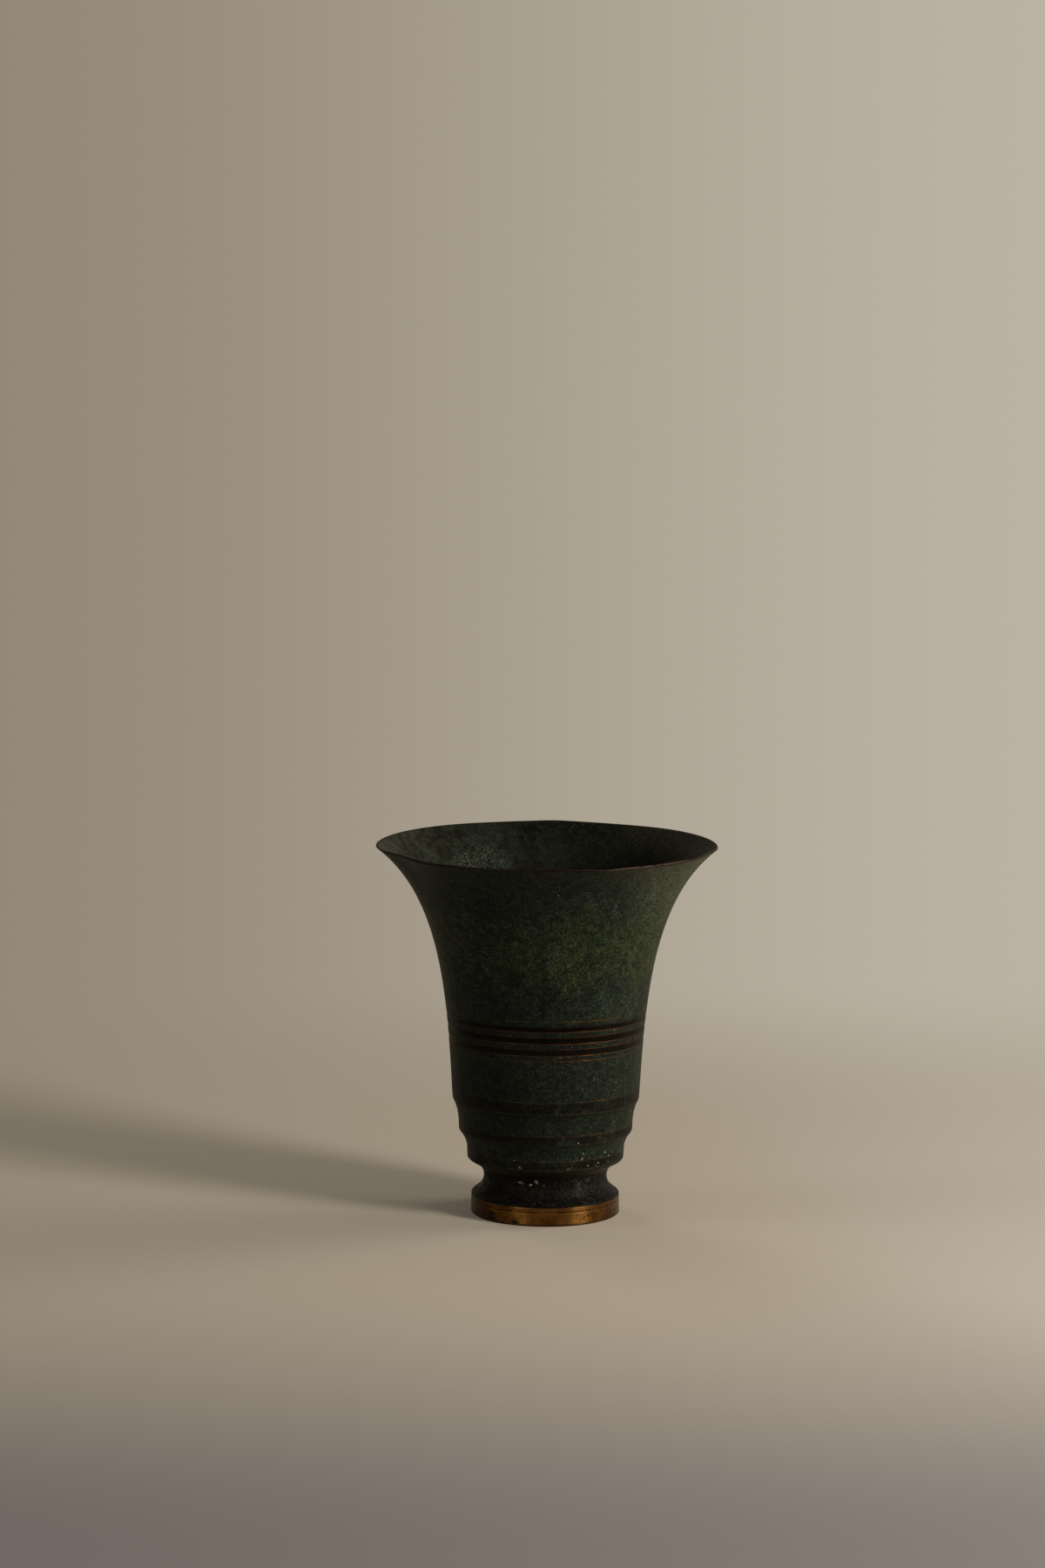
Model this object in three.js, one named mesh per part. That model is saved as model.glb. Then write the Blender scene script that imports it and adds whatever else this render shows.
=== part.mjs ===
// Patinated bronze trumpet vase: a thin turned shell with a banded trunk and three tiers,
// on a hollow waisted foot whose lower end is sheathed by a plain brass ring.
// Millimetres, +Z up, origin on the table under the middle of the foot.

import * as THREE from 'three';

const degree = Math.PI / 180;
const facets = 48;

// Rim and flaring wall
const height = 170.7;
const rimRadius = 77.95;
const lipWall = 0.9;
const lipRise = 38 * degree;
const lipReach = 36;
const trunkLean = 3.1 * degree;
const trunkReach = 43.9;

// Trunk above the tiers
const trunkRadius = 43.3;
const trunkWall = 1.8;

// Tiers: radius at the lower edge, upright wall above it, the cove over that, and the line cut into its foot
const topTierRadius = 42.95;
const topTierBand = 5.7;
const middleTierRadius = 39.95;
const middleTierUpright = 0.9;
const middleLineRise = 3.25;
const topCoveHeight = 13.9;
const topCoveKnee = 4.85;
const lowTierRadius = 36.1;
const lowTierUpright = 3.5;
const lowLineRise = 0.6;
const middleCoveHeight = 8.85;
const middleCoveKnee = 4.2;

// Turned decoration: fine lines, and three shallow grooves between the two upper lines
const lineWidth = 0.5;
const lineDepth = 0.15;
const lowerLineRise = 19.5;
const grooveCount = 3;
const grooveWidth = 2.67;
const groovePitch = 5.33;
const grooveDepth = 0.15;

// Underside of the shell, and the floor inside it
const neckRise = 9.15;
const neckShoulder = 2.3;
const neckHollow = 6.6;
const floorThickness = 3.4;
const floorFillet = 6.5;

// Joint between shell and foot: a spigot in the foot's bore, held by a bead of solder
const seatRise = 3.3;
const spigotRadius = 24.6;
const spigotWall = 2.4;
const spigotLength = 3;
const spigotRecess = 1.2;
const neckBead = 1.5;
const fitGap = 0.3;

// Foot
const waistRadius = 28.35;
const waistRise = 8.5;
const waistSweep = 5.6;
const waistTuck = 1.5;
const footWall = 2.4;
const footLift = 0.9;
const hollowDrop = 1.6;
const hollowRise = 5;
const ringBead = 1.2;

// Brass ring round the foot's lower end
const ringHeight = 8.6;
const ringTopRadius = 34.05;
const ringSpread = 0.2;
const ringWall = 2.4;
const ringChamfer = 0.5;
const ringLineDrop = 2.15;

// Levels that follow, from the table up
const waistLevel = ringHeight + waistRise;
const seatLevel = waistLevel + seatRise;
const undersideLevel = seatLevel + spigotRecess;
const floorLevel = undersideLevel + floorThickness;
const lowEdge = waistLevel + neckRise;
const middleEdge = lowEdge + lowTierUpright + middleCoveHeight;
const topEdge = middleEdge + middleTierUpright + topCoveHeight;
const trunkBase = topEdge + topTierBand;

// Radii that follow, from the inside out
const boreRadius = spigotRadius + fitGap;
const spigotInside = spigotRadius - spigotWall;
const ringInside = ringTopRadius - ringWall;
const sleeveRadius = ringInside - fitGap;
const sleeveInside = sleeveRadius - footWall;

// The outside of the flaring wall ends where the lip's edge begins
const lipLevel = height - lipWall * Math.cos(lipRise);
const flare = new THREE.CubicBezierCurve(
  point(trunkRadius, trunkBase),
  point(trunkRadius + trunkReach * Math.sin(trunkLean), trunkBase + trunkReach * Math.cos(trunkLean)),
  point(rimRadius - lipReach * Math.cos(lipRise), lipLevel - lipReach * Math.sin(lipRise)),
  point(rimRadius, lipLevel),
);

// The shell's underside runs on into the foot's waist as one curve, parted at the seat
const neck = new THREE.CubicBezierCurve(
  point(waistRadius, waistLevel),
  point(waistRadius, waistLevel + neckHollow),
  point(lowTierRadius, lowEdge - neckShoulder),
  point(lowTierRadius, lowEdge),
);
const seatPlace = placeAt(neck, seatLevel);

const waist = new THREE.CubicBezierCurve(
  point(ringTopRadius, ringHeight),
  point(ringTopRadius, ringHeight + waistTuck),
  point(waistRadius, waistLevel - waistSweep),
  point(waistRadius, waistLevel),
);

function point(radius, level) {
  return new THREE.Vector2(radius, level);
}

// Parameter at which a curve that rises all the way reaches a level
function placeAt(curve, level) {
  let low = 0;
  let high = 1;
  for (let step = 0; step < 40; step++) {
    const middle = (low + high) / 2;
    if (curve.getPoint(middle).y < level) {
      low = middle;
    } else {
      high = middle;
    }
  }
  return (low + high) / 2;
}

// Points along part of a curve, both ends among them
function stretch(curve, from, to, steps) {
  const points = [];
  for (let step = 0; step <= steps; step++) {
    points.push(curve.getPoint(from + (to - from) * step / steps));
  }
  return points;
}

// Fine V-shaped line cut into the wall that a curve draws
function lineOn(curve, level) {
  const lower = curve.getPoint(placeAt(curve, level - lineWidth / 2));
  const bottom = curve.getPoint(placeAt(curve, level));
  const upper = curve.getPoint(placeAt(curve, level + lineWidth / 2));
  bottom.x -= lineDepth;
  return [lower, bottom, upper];
}

// Shallow flat groove cut into the wall that a curve draws
function grooveOn(curve, middle) {
  const lower = curve.getPoint(placeAt(curve, middle - grooveWidth / 2));
  const upper = curve.getPoint(placeAt(curve, middle + grooveWidth / 2));
  return [lower, point(lower.x - grooveDepth, lower.y), point(upper.x - grooveDepth, upper.y), upper];
}

// Cove from a tier's upright wall up to the edge of the tier above, with a line cut near its foot
function cove(lowRadius, footLevel, lineRise, highRadius, edge, knee) {
  const curve = new THREE.QuadraticBezierCurve(
    point(lowRadius, footLevel),
    point(lowRadius, edge - knee),
    point(highRadius, edge),
  );
  const lineEnd = placeAt(curve, footLevel + lineRise + lineWidth / 2);
  return [
    curve.getPoint(0),
    ...lineOn(curve, footLevel + lineRise),
    ...stretch(curve, lineEnd, 1, 5).slice(1),
  ];
}

// Inside of the flaring wall, thinning from the trunk to the lip
function flareInside(place) {
  const outside = flare.getPoint(place);
  const along = flare.getTangent(place);
  const wall = trunkWall + (lipWall - trunkWall) * place;
  return point(outside.x - along.y * wall, outside.y + along.x * wall);
}

// Closed solid of revolution about the Z axis
function turned(name, profile, material) {
  const geometry = new THREE.LatheGeometry(profile, facets);
  geometry.rotateX(Math.PI / 2);
  const mesh = new THREE.Mesh(geometry, material);
  mesh.name = name;
  return mesh;
}

function shell() {
  const lowerLine = trunkBase + lowerLineRise;
  const profile = [
    point(0, undersideLevel),
    point(spigotInside, undersideLevel),
    point(spigotInside, seatLevel - spigotLength),
    point(spigotRadius, seatLevel - spigotLength),
    point(spigotRadius, seatLevel),
    ...stretch(neck, seatPlace, 1, 7),
    ...cove(lowTierRadius, lowEdge + lowTierUpright, lowLineRise, middleTierRadius, middleEdge, middleCoveKnee),
    ...cove(middleTierRadius, middleEdge + middleTierUpright, middleLineRise, topTierRadius, topEdge, topCoveKnee),
    ...lineOn(flare, trunkBase + lineWidth / 2),
    ...lineOn(flare, lowerLine),
  ];
  for (let groove = 1; groove <= grooveCount; groove++) {
    profile.push(...grooveOn(flare, lowerLine + (groove - 0.25) * groovePitch));
  }
  const upperLine = lowerLine + (grooveCount + 0.5) * groovePitch;
  profile.push(...lineOn(flare, upperLine));
  const bandEnd = placeAt(flare, upperLine + lineWidth / 2);
  profile.push(...stretch(flare, bandEnd, 1, 10).slice(1));

  const insideSteps = 10;
  for (let step = insideSteps; step >= 0; step--) {
    profile.push(flareInside(step / insideSteps));
  }
  const wellRadius = lowTierRadius - trunkWall;
  const fillet = new THREE.QuadraticBezierCurve(
    point(wellRadius, lowEdge + lowTierUpright),
    point(wellRadius, floorLevel),
    point(wellRadius - floorFillet, floorLevel),
  );
  profile.push(...fillet.getPoints(5), point(0, floorLevel));

  return turned('vase_body', profile, new THREE.MeshStandardMaterial({
    color: 0x3d4a38, roughness: 0.62, metalness: 0.6,
  }));
}

function foot() {
  const profile = [
    point(boreRadius, ringHeight + hollowRise),
    point(sleeveInside, ringHeight - hollowDrop),
    point(sleeveInside, footLift),
    point(sleeveRadius, footLift),
    point(sleeveRadius, ringHeight),
    ...stretch(waist, 0, 1, 8),
    ...stretch(neck, 0, seatPlace, 3).slice(1),
    point(boreRadius, seatLevel),
    point(boreRadius, ringHeight + hollowRise),
  ];
  return turned('foot', profile, new THREE.MeshStandardMaterial({
    color: 0x1c1815, roughness: 0.42, metalness: 0.7,
  }));
}

function footRing() {
  const radiusAt = (level) => ringTopRadius + ringSpread * (1 - level / ringHeight);
  const lineLevel = ringHeight - ringLineDrop;
  const lineLow = lineLevel - lineWidth / 2;
  const lineHigh = lineLevel + lineWidth / 2;
  const profile = [
    point(ringInside, 0),
    point(radiusAt(0) - ringChamfer, 0),
    point(radiusAt(ringChamfer), ringChamfer),
    point(radiusAt(lineLow), lineLow),
    point(radiusAt(lineLevel) - lineDepth, lineLevel),
    point(radiusAt(lineHigh), lineHigh),
    point(ringTopRadius, ringHeight),
    point(ringInside, ringHeight),
    point(ringInside, 0),
  ];
  return turned('foot_ring', profile, new THREE.MeshStandardMaterial({
    color: 0x8a5a26, roughness: 0.4, metalness: 0.95,
  }));
}

// Fillet of solder that hangs in the corner below a flat face, against the wall outside it
function bead(name, level, wallRadius, width, drop) {
  const profile = [
    point(wallRadius, level),
    point(wallRadius - width, level),
    point(wallRadius - width / 3, level - drop / 3),
    point(wallRadius, level - drop),
    point(wallRadius, level),
  ];
  return turned(name, profile, new THREE.MeshStandardMaterial({
    color: 0x8d9092, roughness: 0.45, metalness: 0.9,
  }));
}

const vase = new THREE.Group();
vase.add(shell());
vase.add(foot());
vase.add(footRing());
vase.add(bead('neck_solder', seatLevel - spigotLength, spigotRadius, neckBead, neckBead));
vase.add(bead('ring_solder', footLift, sleeveRadius, ringBead, footLift - fitGap));

export default vase;
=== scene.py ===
"""Patinated bronze trumpet vase on a plain pale floor: turned surfaces, patina and wear. Metres, +Z up."""
import math
import random
from types import SimpleNamespace

import bpy
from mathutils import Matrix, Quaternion, Vector


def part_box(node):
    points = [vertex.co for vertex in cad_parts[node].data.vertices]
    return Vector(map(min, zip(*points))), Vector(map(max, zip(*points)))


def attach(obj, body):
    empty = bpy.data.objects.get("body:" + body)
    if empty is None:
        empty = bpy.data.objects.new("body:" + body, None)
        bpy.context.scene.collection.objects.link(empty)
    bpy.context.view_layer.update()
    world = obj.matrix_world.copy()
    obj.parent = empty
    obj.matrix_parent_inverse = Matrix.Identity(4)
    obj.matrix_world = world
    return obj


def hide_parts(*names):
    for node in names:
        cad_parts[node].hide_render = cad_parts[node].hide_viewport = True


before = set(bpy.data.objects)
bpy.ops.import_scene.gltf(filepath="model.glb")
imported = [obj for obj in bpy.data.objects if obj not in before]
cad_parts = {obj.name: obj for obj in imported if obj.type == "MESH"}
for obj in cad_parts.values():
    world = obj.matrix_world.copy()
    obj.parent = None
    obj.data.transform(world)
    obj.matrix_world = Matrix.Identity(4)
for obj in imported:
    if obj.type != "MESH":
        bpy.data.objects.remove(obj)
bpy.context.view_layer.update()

# Sizes of the turned pieces, in millimetres. Levels are heights over the table.
MM = 0.001
BODY_LOW, BODY_HIGH = (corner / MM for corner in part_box("vase_body"))
FOOT_LOW, FOOT_HIGH = (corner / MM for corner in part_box("foot"))
RING_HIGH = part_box("foot_ring")[1] / MM

# Rim, flare and trunk
TOTAL_HEIGHT = BODY_HIGH.z
RIM_RADIUS = BODY_HIGH.x
LIP_WALL = 0.9
LIP_BULGE = 0.35 * LIP_WALL
LIP_RISE = math.radians(38)
LIP_REACH = 36.0
LIP_LEVEL = TOTAL_HEIGHT - LIP_WALL * math.cos(LIP_RISE)
TRUNK_BASE = 59.1
TRUNK_RADIUS = 43.3
TRUNK_LEAN = math.radians(3.1)
TRUNK_REACH = 43.9
TRUNK_WALL = 1.8

# Tiers, from the top one down: radius and level of the lower edge
TIER_EDGES = ((42.93, 53.4), (39.85, 38.6), (36.0, 26.25))
LOW_TIER_UPRIGHT = 3.5
EDGE_ROUNDING = 0.9

# Coves over the two lower tiers: the lower end, and the corner that bends the curve
TOP_COVE = ((39.97, 39.5), (39.97, 48.56))
MIDDLE_COVE = ((36.15, 29.8), (36.15, 34.4))

# Turned decoration: lines over the tiers and round the trunk, and dark grooves from edge to edge
TIER_LINES = (TRUNK_BASE, 42.95, 30.5)
TRUNK_LINES = (96.75, 78.45)
LINE_WIDTH = 0.5
LINE_DEPTH = 0.1
GROOVES = ((94.2, 91.85), (89.35, 86.4), (83.8, 80.8))
GROOVE_DEPTH = 0.12
GROOVE_SLOPE = 0.35

# Underside of the shell, its spigot, and the floor inside
SEAT_LEVEL = FOOT_HIGH.z
NECK_HOLLOW = 6.6
NECK_SHOULDER = 2.3
UNDERSIDE_LEVEL = 21.6
SPIGOT_RADIUS = 24.6
SPIGOT_INSIDE = 22.2
SPIGOT_END = BODY_LOW.z
FLOOR_LEVEL = 25.0
FLOOR_FILLET = 6.5

# Foot, hollow below, with a sleeve inside the ring
WAIST_RADIUS = 28.35
WAIST_LEVEL = 17.1
WAIST_SWEEP = 5.6
WAIST_TUCK = 1.5
BORE_RADIUS = 24.9
BORE_END = 13.6
HOLLOW_SHOULDER = 7.0
SLEEVE_RADIUS = 31.35
SLEEVE_INSIDE = 28.95
FOOT_LIFT = FOOT_LOW.z

# Brass ring
RING_HEIGHT = RING_HIGH.z
RING_TOP_RADIUS = 34.05
RING_BOTTOM_RADIUS = RING_HIGH.x
RING_INSIDE = 31.65
RING_LINE = 6.47
RING_LINE_DEPTH = 0.2
RING_ROUNDING = 0.7
RING_TOP_BREAK = 0.1
RING_TOP_LAND = 0.3

# The rim is thin and has been knocked. Azimuth and half width in degrees, lift and inward push in
# millimetres. Azimuth 0 is the right of the front view and 90 its back.
RIM_DENTS = (
    (87, 7, 0.30, 0.0),
    (64, 15, -0.28, 0.0),
    (110, 11, -0.18, 0.0),
    (180, 12, 0.0, -0.5),
    (209, 11, 0.45, 1.4),
    (229, 9, -0.15, -0.2),
    (270, 13, 0.55, 0.1),
    (290, 3.5, -0.25, -0.3),
    (318, 20, 0.40, 0.1),
    (341, 9, 0.30, 0.9),
)

# How far down a knock fades, in millimetres, and the strength below which it is left out
DENT_REACH = 20.0
LEAST_DENT = 0.01

# Fineness of the meshes: sides round the axis and, in millimetres, the least rise from ring to ring of
# the wall, the least rise along an outline, and the radius below which a point is on the axis
SEGMENTS = 224
LEAST_RISE = 0.04
SAME_LEVEL = 1e-4
ON_AXIS = 1e-6

# Finishes of the shell, in the order of its material slots
OUTSIDE, LIP, INSIDE = range(3)


def srgb(red, green, blue):
    """Linear colour of 8-bit display values"""
    def linear(value):
        value /= 255
        return value / 12.92 if value <= 0.04045 else ((value + 0.055) / 1.055) ** 2.4
    return (linear(red), linear(green), linear(blue), 1.0)


def bezier(corners, steps):
    """Points along a Bezier curve, both ends among them"""
    points = []
    for step in range(steps + 1):
        share = step / steps
        level = list(corners)
        while len(level) > 1:
            level = [
                tuple(a + (b - a) * share for a, b in zip(first, second))
                for first, second in zip(level, level[1:])
            ]
        points.append(level[0])
    return points


def rounded(before, corner, after, reach, steps=4):
    """Short arc in place of a corner"""
    def towards(end):
        length = math.dist(corner, end)
        return tuple(c + (e - c) * reach / length for c, e in zip(corner, end))
    return bezier((towards(before), corner, towards(after)), steps)


def rising(points):
    """The points whose level is above every earlier one"""
    kept = [points[0]]
    for point in points[1:]:
        if point[1] > kept[-1][1] + SAME_LEVEL:
            kept.append(point)
    return kept


def radius_at(outline, level):
    """Radius of a rising outline at a level"""
    for (low_radius, low), (high_radius, high) in zip(outline, outline[1:]):
        if low <= level <= high:
            share = (level - low) / (high - low) if high > low else 0
            return low_radius + (high_radius - low_radius) * share
    return outline[-1][0] if level > outline[-1][1] else outline[0][0]


def tier_outline():
    """Outside of the three tiers, from the lowest edge up to the trunk"""
    top, middle, low = TIER_EDGES
    middle_cove = bezier((*MIDDLE_COVE, middle), 24)
    top_cove = bezier((*TOP_COVE, top), 28)
    return [
        low,
        *middle_cove[:-1],
        *rounded(middle_cove[-3], middle, top_cove[0], EDGE_ROUNDING),
        *top_cove[:-1],
        *rounded(top_cove[-3], top, (TRUNK_RADIUS, TRUNK_BASE), EDGE_ROUNDING),
    ]


# Outlines of the main surfaces, rising
WAIST = bezier((
    (RING_TOP_RADIUS, RING_HEIGHT),
    (RING_TOP_RADIUS, RING_HEIGHT + WAIST_TUCK),
    (WAIST_RADIUS, WAIST_LEVEL - WAIST_SWEEP),
    (WAIST_RADIUS, WAIST_LEVEL),
), 32)
NECK = bezier((
    (WAIST_RADIUS, WAIST_LEVEL),
    (WAIST_RADIUS, WAIST_LEVEL + NECK_HOLLOW),
    (TIER_EDGES[2][0], TIER_EDGES[2][1] - NECK_SHOULDER),
    TIER_EDGES[2],
), 40)
FLARE_CORNERS = (
    (TRUNK_RADIUS, TRUNK_BASE),
    (TRUNK_RADIUS + TRUNK_REACH * math.sin(TRUNK_LEAN), TRUNK_BASE + TRUNK_REACH * math.cos(TRUNK_LEAN)),
    (RIM_RADIUS - LIP_REACH * math.cos(LIP_RISE), LIP_LEVEL - LIP_REACH * math.sin(LIP_RISE)),
    (RIM_RADIUS, LIP_LEVEL),
)
FLARE = bezier(FLARE_CORNERS, 120)
ABOVE_RING = rising([*WAIST, *NECK, *tier_outline(), *FLARE])


def cut_depth(level):
    """How deep the turned lines and grooves lie below the plain wall at a level"""
    depth = 0.0
    for line in TRUNK_LINES + TIER_LINES:
        depth = max(depth, LINE_DEPTH * (1 - abs(level - line) / (LINE_WIDTH / 2)))
    for high, low in GROOVES:
        inward = min(high - level, level - low)
        depth = max(depth, GROOVE_DEPTH * min(1, inward / GROOVE_SLOPE))
    return depth


def wall_levels(outline):
    """Levels of the wall's rings: those of its outline, and the corners of every line and groove"""
    line_shares = (-0.7, -0.5, -0.25, 0, 0.25, 0.5, 0.7)
    slope_shares = (-0.4, 0, 0.25, 0.5, 0.75, 1, 1.4)
    levels = {round(level, 3) for _, level in outline}
    for line in TRUNK_LINES + TIER_LINES:
        levels |= {round(line + LINE_WIDTH * share, 3) for share in line_shares}
    for high, low in GROOVES:
        for edge, way in ((high, -1), (low, 1)):
            levels |= {round(edge + way * GROOVE_SLOPE * share, 3) for share in slope_shares}
    levels = sorted(levels)
    kept = [levels[0]]
    for level in levels[1:]:
        if level - kept[-1] > LEAST_RISE:
            kept.append(level)
    return kept


def outside_rings():
    """From the axis below the shell's floor, round the spigot and up the outside, as far as the lip"""
    neck = [point for point in NECK if point[1] > SEAT_LEVEL]
    wall = rising([(radius_at(NECK, SEAT_LEVEL), SEAT_LEVEL), *neck, *tier_outline(), *FLARE])
    rings = [
        (0.0, UNDERSIDE_LEVEL),
        (SPIGOT_INSIDE, UNDERSIDE_LEVEL),
        (SPIGOT_INSIDE, SPIGOT_END),
        (SPIGOT_RADIUS, SPIGOT_END),
        (SPIGOT_RADIUS, SEAT_LEVEL),
    ]
    for level in wall_levels(wall)[:-1]:
        rings.append((radius_at(wall, level) - cut_depth(level), level))
    return rings


def lip_rings():
    """Round the thin edge of the rim, from its outer corner"""
    across = (-LIP_WALL * math.sin(LIP_RISE), LIP_WALL * math.cos(LIP_RISE))
    along = (math.cos(LIP_RISE), math.sin(LIP_RISE))
    rings = [(RIM_RADIUS, LIP_LEVEL)]
    steps = 6
    for step in range(1, steps):
        share = step / steps
        swell = LIP_BULGE * (math.sin(math.pi * share) - 0.5)
        rings.append((
            RIM_RADIUS + across[0] * share + along[0] * swell,
            LIP_LEVEL + across[1] * share + along[1] * swell,
        ))
    return rings


def inside_rings():
    """Down the inside of the flare and the trunk, and over the rounded floor to the axis"""
    rings = []
    steps = 90
    flare = bezier(FLARE_CORNERS, steps)
    for step in range(steps, -1, -1):
        radius, level = flare[step]
        ahead = flare[min(step + 1, steps)]
        behind = flare[max(step - 1, 0)]
        length = math.dist(ahead, behind)
        wall = TRUNK_WALL + (LIP_WALL - TRUNK_WALL) * step / steps
        rings.append((
            radius - (ahead[1] - behind[1]) / length * wall,
            level + (ahead[0] - behind[0]) / length * wall,
        ))
    well = TIER_EDGES[2][0] - TRUNK_WALL
    wall_foot = (well, TIER_EDGES[2][1] + LOW_TIER_UPRIGHT)
    rings += bezier((rings[-1], wall_foot), 20)[1:]
    rings += bezier((wall_foot, (well, FLOOR_LEVEL), (well - FLOOR_FILLET, FLOOR_LEVEL)), 12)[1:]
    rings += [(radius, FLOOR_LEVEL) for radius in (20.0, 12.0, 5.0, 0.0)]
    return rings


def shell_profile():
    """Rings of the shell as (radius, level, finish)"""
    stretches = ((outside_rings(), OUTSIDE), (lip_rings(), LIP), (inside_rings(), INSIDE))
    return [(*ring, finish) for rings, finish in stretches for ring in rings]


def foot_profile():
    """Rings of the waisted foot, closed on themselves"""
    neck = [point for point in NECK if WAIST_LEVEL < point[1] < SEAT_LEVEL]
    points = [
        (BORE_RADIUS, BORE_END),
        (SLEEVE_INSIDE, HOLLOW_SHOULDER),
        (SLEEVE_INSIDE, FOOT_LIFT),
        (SLEEVE_RADIUS, FOOT_LIFT),
        (SLEEVE_RADIUS, RING_HEIGHT),
        *WAIST,
        *neck,
        (radius_at(NECK, SEAT_LEVEL), SEAT_LEVEL),
        (BORE_RADIUS, SEAT_LEVEL),
    ]
    return [(*point, 0) for point in points]


def ring_profile():
    """Rings of the brass foot ring, closed on themselves, with its cut line"""
    def outer(level):
        return RING_TOP_RADIUS + (RING_BOTTOM_RADIUS - RING_TOP_RADIUS) * (1 - level / RING_HEIGHT)
    low_edge = (
        (outer(0) - RING_ROUNDING, 0.0),
        (outer(0), 0.0),
        (outer(RING_ROUNDING), RING_ROUNDING),
    )
    points = [(RING_INSIDE, 0.0), *bezier(low_edge, 6)]
    levels = [1.5, 2.5, 3.5, 4.5, 5.5, 6.0]
    levels += [RING_LINE + LINE_WIDTH * share for share in (-0.6, -0.5, -0.2, 0.2, 0.5, 0.6)]
    levels += [7.2, 7.8, RING_HEIGHT - RING_TOP_LAND]
    for level in levels:
        flank = (LINE_WIDTH / 2 - abs(level - RING_LINE)) / (LINE_WIDTH * 0.3)
        cut = RING_LINE_DEPTH * max(0, min(1, flank))
        points.append((outer(level) - cut, level))
    points += [(RING_TOP_RADIUS - RING_TOP_BREAK, RING_HEIGHT), (RING_INSIDE, RING_HEIGHT)]
    return [(*point, 0) for point in points]


def knocked(radius, level, azimuth):
    """Place of a rim point after the knocks that bent the thin lip"""
    below = TOTAL_HEIGHT - level
    fade = math.exp(-((below / DENT_REACH) ** 1.5)) if radius > TRUNK_RADIUS else 0
    if fade < LEAST_DENT:
        return radius, level
    for centre, width, lift, push in RIM_DENTS:
        away = (math.degrees(azimuth) - centre + 180) % 360 - 180
        strength = fade * math.exp(-((away / width) ** 2))
        level += lift * strength
        radius -= push * strength
    return radius, level


def add_mesh(name, vertices, faces, finishes, smooth=True):
    """Mesh object with its materials"""
    mesh = bpy.data.meshes.new(name)
    mesh.from_pydata(vertices, [], faces)
    for finish in finishes:
        mesh.materials.append(finish)
    mesh.polygons.foreach_set("use_smooth", [smooth] * len(faces))
    mesh.update()
    piece = bpy.data.objects.new(name, mesh)
    bpy.context.scene.collection.objects.link(piece)
    return piece


def turned(name, rings, finishes, closed=False, bent=False):
    """Piece of revolution from rings of (radius, level, finish)"""
    vertices = []
    starts = []
    for radius, level, _ in rings:
        starts.append(len(vertices))
        if radius < ON_AXIS:
            vertices.append((0.0, 0.0, level * MM))
            continue
        for segment in range(SEGMENTS):
            azimuth = 2 * math.pi * segment / SEGMENTS
            r, z = knocked(radius, level, azimuth) if bent else (radius, level)
            vertices.append((r * math.cos(azimuth) * MM, r * math.sin(azimuth) * MM, z * MM))
    faces = []
    slots = []
    pairs = list(zip(range(len(rings)), range(1, len(rings))))
    if closed:
        pairs.append((len(rings) - 1, 0))
    for first, second in pairs:
        low_pole = rings[first][0] < ON_AXIS
        high_pole = rings[second][0] < ON_AXIS
        for segment in range(SEGMENTS):
            after = (segment + 1) % SEGMENTS
            face = []
            face += [starts[first]] if low_pole else [starts[first] + segment, starts[first] + after]
            face += [starts[second]] if high_pole else [starts[second] + after, starts[second] + segment]
            faces.append(face)
            slots.append(rings[first][2])
    piece = add_mesh(name, vertices, faces, finishes)
    piece.data.polygons.foreach_set("material_index", slots)
    piece.data.update()
    piece.data.validate()
    return piece


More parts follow.
